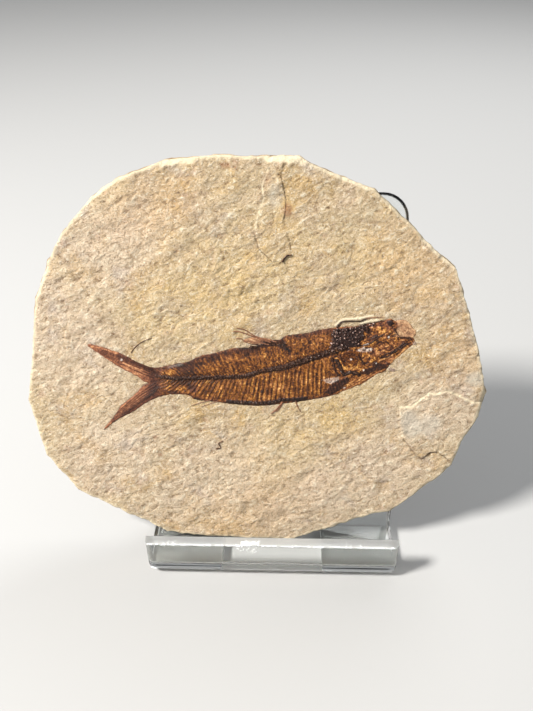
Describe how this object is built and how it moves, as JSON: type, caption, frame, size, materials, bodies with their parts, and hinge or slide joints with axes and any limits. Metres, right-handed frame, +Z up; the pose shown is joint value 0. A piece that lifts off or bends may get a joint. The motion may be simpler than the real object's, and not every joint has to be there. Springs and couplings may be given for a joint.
{
  "type": "fossil fish slab",
  "caption": "Fossil fish in low relief on a split limestone slab with a nipped edge, standing on a clear bent easel.",
  "frame": {"origin": "middle of the display's footprint, on the surface that the easel stands on", "axes": "+X to the viewer's right along the fish towards its head, +Y away from the viewer, +Z up"},
  "size_m": [0.137, 0.0668, 0.1157],
  "materials": {
    "limestone": "matte",
    "fossil_bone": "satin",
    "clear_acrylic": "gloss"
  },
  "bodies": {
    "root": {"slab": "limestone", "fish": "fossil_bone", "loose_ray": "fossil_bone", "loose_bone": "fossil_bone", "loose_sliver": "fossil_bone", "stand": "clear_acrylic"}
  },
  "joints": []
}
